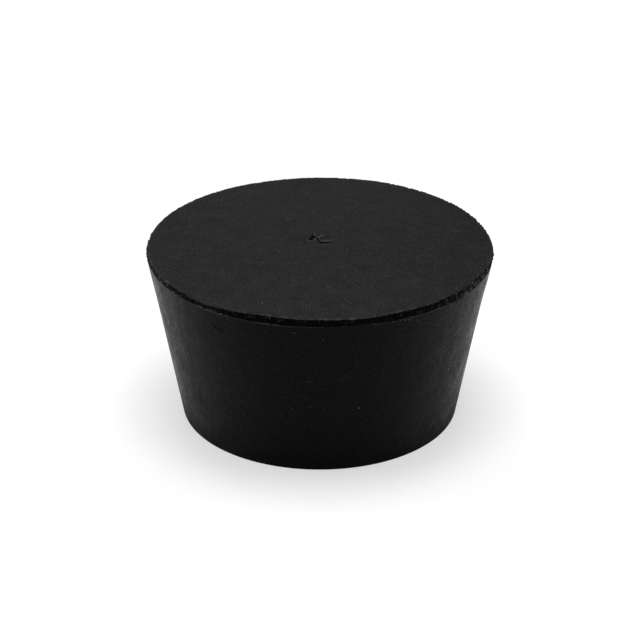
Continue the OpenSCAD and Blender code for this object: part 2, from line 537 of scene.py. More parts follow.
# Painted highlights along the fold, the saddle and the pale lines.
PAINTED_HIGHLIGHTS = (
    (FOLD, 0.07, 0.85), (PALE_RIDGE, 0.13, 0.5), (PALE_CREST, 0.12, 0.27), (SADDLE, 0.16, 0.26),
    (PALE_INSIDE, 0.1, 0.35), (PALE_FLOOR, 0.16, 0.38), (PALE_SPOT, 0.13, 0.6))

# The finely meshed square that takes the scar: its middle, in millimetres to the right of the axis
# and behind it, and how often it is divided each way.
PATCH_MIDDLE = (0.1, 2.3)
PATCH_DIVISIONS = 100
# How far from the axis the scar raises the face.
SCAR_REACH = 8 * MM


def raise_scar(x, y, scar):
    """Height of the moulding scar over the flat of the large end, at each place.

    Returns the heights and two masks: how torn each place is, partly torn rubber and partly painted
    shade in the holes, cracks and inner line, and how much painted highlight each place takes.
    """
    dx, dy = x - scar.burr_x, y - scar.burr_y
    ring = np.hypot(dx, dy)
    turn = np.degrees(np.arctan2(dy, dx)) % 360
    places = np.stack([x, y, 0 * x], 1) / MM
    wobble = MM * grain(places, 0.7, 2, 21.0)
    fine = grain(places, 0.25, 2, 22.0)

    # The burr's crest follows the ring. What faces back slopes gently, and what faces front is steep.
    crest_r = scar.burr_r * (1 + 0.08 * np.sin(np.radians(turn))) + 0.04 * wobble
    gap = ring - crest_r
    along = smooth_step(62, 100, turn) * (1 - smooth_step(300, 335, turn))
    along = along * (1 - 0.7 * bump_round(turn, 100, 50))
    faces_back = smooth_step(-0.6, 0.6, np.sign(gap) * np.sin(np.radians(turn)))
    width = scar.burr_w * (0.48 + 0.5 * faces_back)
    height = scar.burr_h * along * np.exp(-(gap / width) ** 2)
    crack = np.max(strokes(x, y, CRACKS), axis=0) * (0.85 + 0.3 * fine)
    height -= 0.22 * MM * crack + 0.03 * MM * stroke(x, y, INNER_LINE, 0.08)

    # Two torn holes beside the burr, in a shallow funnel, and a fold that runs back from them.
    hole = line_gap(x, y, HOLES) + 0.05 * wobble
    waist = 0.06 * MM * stroke(x, y, WAIST, 0.1)
    deep = 1 - smooth_step(0.1 * MM, 0.3 * MM, hole + waist)
    funnel = 0.06 * MM * np.exp(-(hole / (0.5 * MM)) ** 2)
    raised = 0.08 * MM * stroke(x, y, FOLD, 0.07) + 0.05 * MM * stroke(x, y, SADDLE, 0.25)
    height += raised - funnel - scar.nick_depth * deep
    tips = np.max(strokes(x, y, TIPS), axis=0)
    height -= 0.12 * MM * tips
    # The torn mask darkens the holes, cracks, tips and inner line: partly torn rubber, partly painted
    # shade in these recesses.
    ripped = np.clip(1.2 * deep + crack + 0.9 * tips + 0.75 * stroke(x, y, INNER_LINE, 0.15), 0, 1)
    # Painted highlights along the scar's ridges, crest, fold, saddle and floor.
    painted_highlight = np.clip(sum(strokes(x, y, PAINTED_HIGHLIGHTS)) * (0.9 + 0.5 * fine), 0, 1)
    return height, ripped, painted_highlight * (1 - ripped)


# ---------------------------------------------------------------- the body's mesh


def spin_plug(sizes, rim):
    """The plug as a smooth turned shape, open in the middle of the large end, in edit mode."""
    clear_selection()
    draw_outline([(r, 0, z) for r, z in plug_outline(sizes, rim)])
    bpy.ops.mesh.select_all(action="SELECT")
    bpy.ops.mesh.spin(steps=sizes.columns, angle=math.tau, center=(0, 0, 0), axis=(0, 0, 1))
    bpy.ops.mesh.select_all(action="SELECT")
    bpy.ops.mesh.remove_doubles(threshold=TINY)
    body = bpy.context.object
    body.name = body.data.name = "stopper_body"
    return body


def refine_rim(body, sizes, rim):
    """Cuts the edges that run round the band, the lip and the top edge, in edit mode."""
    rim_z, mean_r, _ = rim_heights(sizes, rim)
    bpy.ops.mesh.select_mode(type="EDGE")
    bpy.ops.mesh.select_all(action="DESELECT")
    bpy.ops.object.mode_set(mode="OBJECT")
    co = [vert.co for vert in body.data.vertices]
    for edge in body.data.edges:
        a, b = (co[i] for i in edge.vertices)
        level = abs(a.z - b.z) < TINY and abs(a.xy.length - b.xy.length) < TINY
        outer = a.z > rim_z - 3.5 * rim.lip and a.xy.length > mean_r - 0.4 * MM
        edge.select = level and outer
    bpy.ops.object.mode_set(mode="EDIT")
    bpy.ops.mesh.subdivide(number_cuts=BAND_CUTS)


def close_large_end(sizes, scar):
    """Bridges the finely meshed square to the innermost ring of the large end, in edit mode."""
    bpy.ops.mesh.select_mode(type="VERT")
    bpy.ops.mesh.select_all(action="DESELECT")
    bpy.ops.mesh.primitive_grid_add(
        x_subdivisions=PATCH_DIVISIONS, y_subdivisions=PATCH_DIVISIONS, size=scar.patch,
        location=on_face(sizes, *PATCH_MIDDLE))
    bpy.ops.mesh.select_all(action="DESELECT")
    bpy.ops.mesh.select_mode(type="EDGE")
    bpy.ops.mesh.select_non_manifold(
        extend=False, use_wire=False, use_boundary=True,
        use_multi_face=False, use_non_contiguous=False, use_verts=False)
    bpy.ops.mesh.bridge_edge_loops()


class STOPPER_OT_body(Operator):
    """Spins the plug's section, refines the rim, tears it and raises the moulding scar"""

    bl_idname = "stopper.body"
    bl_label = "Stopper Body"

    def execute(self, context):
        scene = context.scene
        sizes, rim, scar = scene.stopper_sizes, scene.stopper_rim, scene.stopper_scar
        body = spin_plug(sizes, rim)
        refine_rim(body, sizes, rim)
        close_large_end(sizes, scar)
        bpy.ops.mesh.select_all(action="SELECT")
        bpy.ops.mesh.normals_make_consistent(inside=False)
        bpy.ops.object.mode_set(mode="OBJECT")

        mesh = body.data
        co = np.empty(len(mesh.vertices) * 3)
        mesh.vertices.foreach_get("co", co)
        co = co.reshape(-1, 3)
        face = on_flat(sizes, co[:, 2])
        co, torn, dust_and_highlight = tear_rim(co, sizes, rim)
        middle = face & (np.hypot(co[:, 0], co[:, 1]) < SCAR_REACH)
        raised, torn[middle], dust_and_highlight[middle] = raise_scar(co[middle, 0], co[middle, 1], scar)
        co[middle, 2] += raised
        mesh.vertices.foreach_set("co", co.ravel())
        # One mask holds pale dust and painted highlights; the torn mask also lays painted shade in the
        # scar's recesses.
        for name, mask in (("torn", torn), ("dust_and_highlight", dust_and_highlight), ("face", face.astype(float))):
            mesh.attributes.new(name, "FLOAT", "POINT").data.foreach_set("value", mask)
        mesh.update()

        select_only(body)
        bpy.ops.object.shade_smooth_by_angle(angle=SMOOTH_ANGLE)
        rubber = rubber_material(sizes, scene.stopper_looks)
        finish_piece(body, rubber, replaces="stopper")
        return {"FINISHED"}


# ---------------------------------------------------------------- finishes


def new_group(name, inputs, outputs):
    """A shader node group, with the sockets to read its inputs from and to put its outputs in."""
    group = bpy.data.node_groups.new(name, "ShaderNodeTree")
    for label, kind, value in inputs:
        socket = group.interface.new_socket(label, in_out="INPUT", socket_type=kind)
        if value is not None:
            socket.default_value = value
    for label, kind in outputs:
        group.interface.new_socket(label, in_out="OUTPUT", socket_type=kind)
    ins, outs = group.nodes.new("NodeGroupInput"), group.nodes.new("NodeGroupOutput")
    return group, ins.outputs, outs.inputs


def node(tree, kind, place, **settings):
    """A node at a place in the tree. Each setting goes to the input or the property of its name."""
    made = tree.nodes.new(kind)
    made.location = place
    for key, value in settings.items():
        if key in made.inputs:
            made.inputs[key].default_value = value
        else:
            setattr(made, key, value)
    return made


def feed(tree, value, socket):
    """Links a socket's value to another socket, or sets the socket to a plain value."""
    if hasattr(value, "is_output"):
        tree.links.new(value, socket)
    else:
        socket.default_value = value


def math_node(tree, operation, a, b=None, place=(0, 0), clamp=False):
    made = node(tree, "ShaderNodeMath", place, operation=operation, use_clamp=clamp)
    feed(tree, a, made.inputs[0])
    if b is not None:
        feed(tree, b, made.inputs[1])
    return made.outputs[0]


def times(tree, a, b, place=(0, 0)):
    return math_node(tree, "MULTIPLY", a, b, place)


def plus(tree, a, b, place=(0, 0)):
    return math_node(tree, "ADD", a, b, place)


def ranged(tree, value, low, high, to_low, to_high, place=(0, 0), smooth=False):
    """The value between low and high, spread over to_low to to_high, and held at the ends."""
    kind = "SMOOTHSTEP" if smooth else "LINEAR"
    made = node(tree, "ShaderNodeMapRange", place, interpolation_type=kind)
    tree.links.new(value, made.inputs["Value"])
    for label, limit in (("From Min", low), ("From Max", high), ("To Min", to_low), ("To Max", to_high)):
        feed(tree, limit, made.inputs[label])
    return made.outputs["Result"]


def about_one(tree, value, low, high, swing, place=(0, 0)):
    """The value between low and high, spread over one swing below 1 to one swing above it."""
    x, y = place
    least = math_node(tree, "SUBTRACT", 1.0, swing, (x, y))
    most = plus(tree, 1.0, swing, (x, y - 50))
    return ranged(tree, value, low, high, least, most, (x + 150, y))


def mix_value(tree, factor, a, b, place=(0, 0)):
    """Mixes two plain values, each a socket or a number."""
    made = node(tree, "ShaderNodeMix", place, data_type="FLOAT")
    for i, value in ((0, factor), (2, a), (3, b)):
        feed(tree, value, made.inputs[i])
    return made.outputs[0]


def blend(tree, factor, a, b, place=(0, 0), mode="MIX"):
    """Mixes two colours, each a socket or a colour value."""
    made = node(tree, "ShaderNodeMix", place, data_type="RGBA", blend_type=mode)
    feed(tree, factor, made.inputs[0])
    for i, value in ((6, a), (7, b)):
        feed(tree, value if hasattr(value, "is_output") else (*value[:3], 1), made.inputs[i])
    return made.outputs[2]


def noise_node(tree, vector, scale, detail, roughness, place):
    made = node(tree, "ShaderNodeTexNoise", place, Detail=detail, Roughness=roughness)
    tree.links.new(vector, made.inputs["Vector"])
    feed(tree, scale, made.inputs["Scale"])
    return made.outputs["Fac"]


def cell_nodes(tree, ins):
    """Cells at the group's scale, of which the group's share are chosen.

    Returns how far each place is from its cell's middle, three random values for each cell, and a
    mask of the chosen cells.
    """
    cells = node(tree, "ShaderNodeTexVoronoi", (-500, 0), feature="F1")
    tree.links.new(ins["Vector"], cells.inputs["Vector"])
    tree.links.new(ins["Scale"], cells.inputs["Scale"])
    split = node(tree, "ShaderNodeSeparateColor", (-300, -100))
    tree.links.new(cells.outputs["Color"], split.inputs[0])
    chosen = math_node(tree, "LESS_THAN", split.outputs[0], ins["Share"], (-120, -100))
    return cells.outputs["Distance"], split.outputs, chosen


def moulded_grain_group():
    """Fine grain of moulded rubber, slow clouds over it, and streaks that run up the side."""
    tree, ins, outs = new_group(
        "Moulded Grain",
        [("Vector", "NodeSocketVector", None), ("Grain Scale", "NodeSocketFloat", 4200.0),
         ("Cloud Scale", "NodeSocketFloat", 340.0), ("Streak Scale", "NodeSocketFloat", 1500.0)],
        [("Grain", "NodeSocketFloat"), ("Clouds", "NodeSocketFloat"), ("Streaks", "NodeSocketFloat")])
    vector = ins["Vector"]
    stretch = node(tree, "ShaderNodeMapping", (-700, -300), Scale=(1, 1, 0.6))
    tree.links.new(vector, stretch.inputs["Vector"])
    stretched = stretch.outputs["Vector"]
    fine = noise_node(tree, vector, ins["Grain Scale"], 2.0, 0.7, (-500, 200))
    clouds = noise_node(tree, vector, ins["Cloud Scale"], 4.0, 0.6, (-500, -50))
    streaks = noise_node(tree, stretched, ins["Streak Scale"], 4.0, 0.65, (-500, -300))
    tree.links.new(fine, outs["Grain"])
    tree.links.new(clouds, outs["Clouds"])
    tree.links.new(streaks, outs["Streaks"])
    return tree


def torn_group():
    """Torn rubber: mottled tone, a few pale crumbs, and the height of its crumbs in millimetres."""
    tree, ins, outs = new_group(
        "Torn Rubber",
        [("Vector", "NodeSocketVector", None), ("Scale", "NodeSocketFloat", 3600.0),
         ("Share", "NodeSocketFloat", 0.24)],
        [("Tone", "NodeSocketFloat"), ("Pale", "NodeSocketFloat"), ("Height", "NodeSocketFloat")])
    vector = ins["Vector"]
    mottle = noise_node(tree, vector, 1900.0, 3.0, 0.6, (-500, 300))
    tree.links.new(ranged(tree, mottle, 0.38, 0.66, 0.0, 5.0, (-200, 300)), outs["Tone"])

    distance, chances, chosen = cell_nodes(tree, ins)
    near = ranged(tree, distance, 0.15, 0.5, 1.0, 0.0, (-120, 50), smooth=True)
    bright = math_node(tree, "POWER", chances[1], 2.0, (-120, -200))
    pale = times(tree, near, bright, (60, 0))
    tree.links.new(times(tree, pale, chosen, (200, -50)), outs["Pale"])

    rough = noise_node(tree, vector, 7000.0, 2.0, 0.6, (-500, -300))
    lumps = times(tree, distance, -0.1, (-200, -250))
    fine = times(tree, rough, 0.05, (-200, -350))
    tree.links.new(plus(tree, lumps, fine, (0, -300)), outs["Height"])
    return tree


def dust_group():
    """Scattered pale specks: one small round speck in some of the cells."""
    tree, ins, outs = new_group(
        "Dust Specks",
        [("Vector", "NodeSocketVector", None), ("Scale", "NodeSocketFloat", 1000.0),
         ("Share", "NodeSocketFloat", 0.3), ("Size", "NodeSocketFloat", 0.18)],
        [("Mask", "NodeSocketFloat")])
    distance, chances, chosen = cell_nodes(tree, ins)
    size = times(tree, chances[1], ins["Size"], (-120, -250))
    near = ranged(tree, distance, 0.0, size, 1.0, 0.0, (60, 50), smooth=True)
    pale = times(tree, near, chances[2], (240, -100))
    tree.links.new(times(tree, pale, chosen, (400, 0)), outs["Mask"])
    return tree


def hairline_group():
    """Short fine curved marks: thin level lines of one noise, kept only in patches of another."""
    tree, ins, outs = new_group(
        "Hairline Marks",
        [("Vector", "NodeSocketVector", None), ("Scale", "NodeSocketFloat", 420.0),
         ("Width", "NodeSocketFloat", 0.012), ("Patch Scale", "NodeSocketFloat", 520.0)],
        [("Mask", "NodeSocketFloat")])
    lines = noise_node(tree, ins["Vector"], ins["Scale"], 0.0, 0.5, (-500, 100))
    offset = math_node(tree, "SUBTRACT", lines, 0.5, (-300, 100))
    offset = math_node(tree, "ABSOLUTE", offset, None, (-150, 100))
    thin = ranged(tree, offset, 0.0, ins["Width"], 1.0, 0.0, (0, 100), smooth=True)
    patches = noise_node(tree, ins["Vector"], ins["Patch Scale"], 1.0, 0.5, (-500, -200))
    kept = ranged(tree, patches, 0.6, 0.7, 0.0, 1.0, (0, -200), smooth=True)
    tree.links.new(times(tree, thin, kept, (200, 0)), outs["Mask"])
    return tree


# How far up the side painted shade darkens its foot, and how far up it is duller.
SHADED_FOOT_H = 12 * MM
DULL_FOOT_H = 5 * MM
# Front and back of the face, between which its salt and its grain fade.
FACE_FRONT, FACE_BACK = -22 * MM, 22 * MM


def rubber_material(sizes, looks):
    """Black moulded rubber: matte face, satin side, rough torn band, chafed lip, dust and fine marks."""
    material = bpy.data.materials.new("black_rubber")
    material.use_nodes = True
    tree = material.node_tree
    shader = tree.nodes["Principled BSDF"]
    place = node(tree, "ShaderNodeTexCoord", (-1800, 0)).outputs["Object"]
    split = node(tree, "ShaderNodeSeparateXYZ", (-1500, 700))
    tree.links.new(place, split.inputs[0])
    x, y, z = split.outputs
    masks = []
    for i, name in enumerate(("torn", "dust_and_highlight", "face")):
        mask = node(tree, "ShaderNodeAttribute", (-1500, 500 - 200 * i), attribute_name=name)
        masks.append(mask.outputs["Fac"])
    is_torn, is_dust_and_highlight, is_face = masks
    parts = []
    groups = (moulded_grain_group(), torn_group(), dust_group(), hairline_group())
    for i, group in enumerate(groups):
        made = node(tree, "ShaderNodeGroup", (-1500, -200 - 250 * i), node_tree=group)
        tree.links.new(place, made.inputs["Vector"])
        parts.append(made.outputs)
    grains, ripped, dust, marks = parts

    def by_part(side, flat, spot):
        """One value for the side and another for the large end's face."""
        return mix_value(tree, is_face, side, flat, spot)

    # Tone of the skin: grain and slow clouds, with painted light toward the front of the face and
    # painted shade toward its right, and painted shade darkest at the foot of the side.
    speckle = about_one(tree, grains["Grain"], 0.34, 0.66, by_part(0.6, 1.0, (-1100, 350)), (-950, 350))
    cloudy = about_one(tree, grains["Clouds"], 0.3, 0.7, by_part(0.2, 0.44, (-1100, 150)), (-950, 150))
    tone = times(tree, speckle, cloudy, (-650, 250))
    # Painted light and shade on the face: paler toward its front edge, darker toward its right.
    painted_light_front = ranged(tree, y, -24 * MM, -4 * MM, 1.7, 1.0, (-900, 0))
    painted_shade_right = ranged(tree, x, 4 * MM, 20 * MM, 1.0, 0.7, (-900, -80))
    painted_face_light_and_shade = by_part(1.0, times(tree, painted_light_front, painted_shade_right, (-750, 0)), (-600, 0))
    tone = times(tree, tone, painted_face_light_and_shade, (-500, 150))
    # Painted shade at the side's foot: its tone falls to 0.15 at the floor.
    foot = ranged(tree, z, 0.0, SHADED_FOOT_H, 0.15, 1.0, (-700, 700), smooth=True)
    tone = times(tree, tone, foot, (-600, 650))
    plain = blend(tree, is_face, looks.skin, looks.face, (-1100, 500))
    skin = blend(tree, 1.0, plain, tone, (-700, 400), "MULTIPLY")
    torn = blend(tree, 1.0, looks.torn, ripped["Tone"], (-700, 600), "MULTIPLY")
    rubber = blend(tree, is_torn, skin, torn, (-500, 400))

    # What is pale on it: painted highlights on the lip, the top edge and the scar, dust and fine salt,
    # hairline marks, and crumbs where torn, partly dust and partly painted highlight.
    # Torn crumbs grow paler where the band takes dust and painted highlight.
    flecks = times(tree, ripped["Pale"], 0.5, (-850, -100))
    crumb_dust_and_highlight = ranged(tree, is_dust_and_highlight, 0.0, 0.4, 0.8, 7.0, (-850, -180))
    flecks = times(tree, flecks, crumb_dust_and_highlight, (-700, -180))
    crumb = times(tree, flecks, is_torn, (-700, -100))
    fading = ranged(tree, y, FACE_FRONT, FACE_BACK, 0.15, 0.08, (-1100, 60))
    patchy = times(tree, fading, cloudy, (-1000, 0))
    salt = ranged(tree, grains["Grain"], 0.48, 0.72, 0.0, by_part(0.045, patchy, (-950, 60)), (-850, 60))
    dusty = plus(tree, times(tree, dust["Mask"], 0.8, (-700, 0)), salt, (-600, 0))
    pale = math_node(tree, "MAXIMUM", is_dust_and_highlight, dusty, (-500, 100))
    marked = times(tree, marks["Mask"], times(tree, is_face, 0.12, (-650, -50)), (-500, -50))
    bits = math_node(tree, "MAXIMUM", marked, crumb, (-420, -50))
    pale = math_node(tree, "MAXIMUM", pale, bits, (-350, 50), clamp=True)
    tree.links.new(blend(tree, pale, rubber, looks.dust_and_highlight, (-200, 350)), shader.inputs["Base Color"])

    # Roughness: the side is smoothest near the top and cloudy all over, and torn rubber is roughest.
    rough_low, rough_high = looks.skin_rough + 0.06, looks.skin_rough - 0.05
    lower = ranged(tree, z, 0.0, sizes.height, rough_low, rough_high, (-1100, -150))
    sway = plus(tree, grains["Clouds"], grains["Streaks"], (-1100, -350))
    uneven = ranged(tree, sway, 0.75, 1.25, -0.13, 0.13, (-900, -350))
    dull_foot = ranged(tree, z, 0.0, DULL_FOOT_H, 0.22, 0.0, (-900, -250), smooth=True)
    side = plus(tree, plus(tree, lower, uneven, (-750, -300)), dull_foot, (-700, -200))
    moulded = by_part(side, looks.face_rough, (-500, -250))
    roughness = mix_value(tree, is_torn, moulded, looks.torn_rough, (-300, -250))
    tree.links.new(roughness, shader.inputs["Roughness"])
    shader.inputs["Specular IOR Level"].default_value = looks.gloss

    # Relief in millimetres: grain all over, streaks and slow waves on the side, and crumbs where torn.
    coarse = ranged(tree, y, FACE_FRONT, FACE_BACK, 0.06, 0.03, (-1100, -600))
    fine = times(tree, grains["Grain"], by_part(0.12, coarse, (-950, -600)), (-800, -600))
    waves = times(tree, grains["Clouds"], by_part(0.14, 0.05, (-1050, -700)), (-900, -700))
    ribs = times(tree, grains["Streaks"], by_part(0.012, 0.004, (-1050, -800)), (-900, -800))
    relief = plus(tree, plus(tree, fine, waves, (-700, -650)), ribs, (-550, -700))
    relief = mix_value(tree, is_torn, relief, ripped["Height"], (-400, -600))
    bump = node(tree, "ShaderNodeBump", (-300, -500), Strength=1.0, Distance=MM)
    tree.links.new(relief, bump.inputs["Height"])
    tree.links.new(bump.outputs["Normal"], shader.inputs["Normal"])
    return material


def lint_material(name, colour):
    """Pale matte fibre or dust."""
    material = bpy.data.materials.new(name)
    material.use_nodes = True
    shader = material.node_tree.nodes["Principled BSDF"]
    shader.inputs["Base Color"].default_value = (*colour, 1)
    shader.inputs["Roughness"].default_value = 0.9
    shader.inputs["Specular IOR Level"].default_value = 0.2
    return material


# ---------------------------------------------------------------- lint and dust


def on_side(sizes, turn, z, lift=0.0):
    """A place on the side, from degrees round the stopper and millimetres up."""
    lean = math.atan(taper(sizes))
    a = math.radians(turn)
    r = side_r(sizes, z * MM) + lift * math.cos(lean)
    return Vector((r * math.cos(a), r * math.sin(a), z * MM - lift * math.sin(lean)))


def on_face(sizes, x, y, lift=0.0):
    """A place on the large end's face, from millimetres to the right of the axis and behind it."""
    return Vector((x * MM, y * MM, sizes.height + lift))


def fibre(name, points, radius):
    """One thin fibre as a mesh: a smooth curve through the points with a round section."""
    clear_selection()
    bpy.ops.curve.primitive_bezier_curve_add()
    curve = bpy.context.object
    curve.name = name
    data = curve.data
    data.splines.remove(data.splines[0])
    spline = data.splines.new("BEZIER")
    spline.bezier_points.add(len(points) - 1)
    for knot, point in zip(spline.bezier_points, points):
        knot.co = point
        knot.handle_left_type = knot.handle_right_type = "AUTO"
    data.resolution_u = 4
    data.bevel_depth = radius
    data.bevel_resolution = 1
    data.use_fill_caps = True
    bpy.ops.object.convert(target="MESH")
    return bpy.context.object


def join_as(name, pieces):
    """Joins the pieces into one with the given name."""
    select_only(pieces[0])
    for piece in pieces[1:]:
        piece.select_set(True)
    if len(pieces) > 1:
        bpy.ops.object.join()
    joined = bpy.context.object
    joined.name = joined.data.name = name
    return joined


# Radii of the fibres: the tangle and its thick bits, the curl and the hairs, and the dark hair.
STRAND_R = 0.014 * MM
FLECK_R = 2 * STRAND_R
SLIVER_R = 1.5 * STRAND_R
CURL_R = 0.007 * MM
SIDE_HAIR_R = 0.6 * CURL_R
FACE_HAIR_R = 0.008 * MM
DARK_HAIR_R = 0.045 * MM
# How far the middles of slivers and bits stand off the torn band.
SLIVER_LIFT = 0.12 * MM
BIT_LIFT = 0.1 * MM
# Share of its radius by which a speck's middle stands off the rubber.
SPECK_LIFT = 0.2
# Fibres caught on the side: degrees round and millimetres up, point by point along each fibre.
CURL = ((275.35, 16.12), (276.1, 16.05), (276.7, 15.85), (277.3, 15.86), (277.6, 16.1), (278.0, 16.54),
        (278.7, 16.7), (279.4, 16.5), (280.2, 16.42), (280.9, 16.0))
TANGLE = (
    ((293.4, 24.74), (294.1, 24.62), (295.0, 24.34)),
    ((295.5, 24.12), (296.4, 24.6), (297.4, 24.86), (298.1, 24.7)),
    ((297.5, 24.6), (298.4, 24.5), (299.3, 24.84), (300.7, 24.77)),
    ((297.5, 24.46), (299.1, 24.56), (299.9, 24.3)),
    ((300.4, 24.1), (300.4, 24.45), (301.2, 24.72), (302.2, 24.71), (303.0, 24.48)),
    ((301.0, 24.62), (302.4, 24.2), (303.4, 23.6), (304.9, 23.13), (306.2, 23.08), (307.4, 22.97),
     (308.5, 22.93)),
)
SIDE_HAIRS = (
    ((272.9, 16.8), (273.3, 16.1), (274.1, 16.28), (275.3, 16.12)),
    ((267.8, 16.4), (267.5, 15.9), (267.25, 15.3)),
)
SIDE_FLECKS = (
    ((261.55, 24.02), (261.95, 23.92), (262.45, 23.76)),
    ((270.75, 22.72), (271.05, 22.95), (271.3, 23.02)),
)
DARK_HAIR = ((232.0, 22.62), (234.2, 22.2), (236.6, 21.9))
# Fibres on the large end's face: millimetres to the right of the axis and behind it.
FACE_HAIRS = (
    ((-5.0, 9.4), (-4.5, 9.15), (-4.1, 9.3)),
    ((-0.1, 10.1), (1.0, 9.5), (1.7, 10.1), (2.3, 9.7), (2.8, 8.7)),
    ((4.2, 2.7), (4.7, 3.3)),
    ((-5.0, -6.3), (-4.1, -6.6), (-3.2, -6.5)),
    ((18.2, 3.7), (19.2, 4.6), (20.4, 4.3)),
    ((3.1, 9.83), (3.32, 9.28)),
    ((3.43, 4.2), (3.47, 4.7)),
)
# Larger specks on the side: degrees round, millimetres up, and radius in millimetres.
SIDE_SPECKS = (
    (266.2, 15.73, 0.072), (265.4, 13.15, 0.065), (271.8, 10.92, 0.065), (284.2, 10.77, 0.094),
    (264.2, 15.93, 0.042), (262.9, 15.33, 0.042), (262.6, 14.93, 0.036), (260.6, 13.65, 0.039),
    (261.7, 13.67, 0.036), (263.7, 12.93, 0.042), (264.4, 13.16, 0.039), (261.7, 12.1, 0.044),
    (259.9, 10.92, 0.044), (260.1, 10.57, 0.039), (256.1, 9.42, 0.042), (256.6, 8.67, 0.039),
    (258.1, 8.12, 0.044), (266.8, 8.28, 0.042), (269.4, 15.2, 0.034), (271, 14.57, 0.036),
    (257.4, 15.6, 0.034), (258.8, 14.4, 0.036), (258.7, 12.75, 0.034), (266.1, 11.42, 0.039),
    (266.9, 11.43, 0.036), (233.5, 15.2, 0.088), (282, 19.4, 0.039), (293.4, 24.74, 0.058),
    (308.5, 22.93, 0.042), (253.7, 24.95, 0.078), (311, 24.98, 0.065), (326.5, 24.75, 0.065),
    (325.6, 24.4, 0.039), (254.6, 14.4, 0.036), (252.8, 12.1, 0.032), (239.1, 9.7, 0.035),
    (240.4, 8.3, 0.045), (234.9, 7.3, 0.045), (235.1, 8.2, 0.04), (273.3, 12.3, 0.04),
    (278.6, 8.6, 0.032), (287.7, 8.3, 0.036), (275.1, 7.4, 0.045), (254.8, 5.8, 0.034),
    (237.5, 4.7, 0.04), (250.2, 15.9, 0.036), (275.2, 19.1, 0.036), (239, 10.6, 0.032),
    (255.2, 12.7, 0.028), (251.3, 10.2, 0.03), (255.4, 11.1, 0.03), (243.9, 6.4, 0.036),
    (241.7, 6.2, 0.03),
)
# Bits and slivers on the torn band, in the same way.
BAND_BITS = (
    (252.9, 25.65, 0.06), (206.8, 25.8, 0.08), (212.5, 25.75, 0.1), (311.0, 25.25, 0.06),
    (280.0, 25.5, 0.03), (267.0, 25.6, 0.03), (243.0, 25.5, 0.035), (236.0, 25.4, 0.03),
    (335.1, 25.8, 0.09), (341.2, 25.8, 0.1),
)
BAND_SLIVERS = (((296.2, 25.35), (296.5, 25.65)), ((270.0, 25.6), (270.05, 25.85)))
# Specks on the face: millimetres to the right of the axis, millimetres behind it, and radius.
FACE_SPECKS = (
    (-8.31, -19.1, 0.05), (-7.86, -19.38, 0.1), (-7.9, -6.2, 0.05), (12.9, -4.3, 0.04),
    (18.9, -14.66, 0.065), (-2.64, -23.6, 0.06), (23.06, -6.97, 0.08), (22.74, -7.94, 0.06),
    (22.02, -8.91, 0.05), (22.29, -10.29, 0.08), (21.48, -11.11, 0.05), (18.55, -4.2, 0.06),
    (6.2, -13.1, 0.035), (14.0, -9.9, 0.035), (-10.9, -16.3, 0.035), (2.41, 1.9, 0.035),
    (1.45, 8.51, 0.04), (0.28, 8.25, 0.04), (-0.96, 11.83, 0.05),
)
# The one dark speck on the face, in the same way.
DARK_DOT = (3.65, 3.19, 0.11)


def on_band(sizes, rim, turn, z, lift=0.0):
    """A place on the torn band, from degrees round the stopper and millimetres up."""
    rim_z, mean_r, foot_r = rim_heights(sizes, rim)
    upright = mean_r + rim.wander * bumps_round(turn, STRAYS)
    up = (z * MM - rim_z) / rim.rim_h
    r = min(upright, leaning_r(rim, mean_r, foot_r, up)) + lift
    a = math.radians(turn)
    return Vector((r * math.cos(a), r * math.sin(a), z * MM))


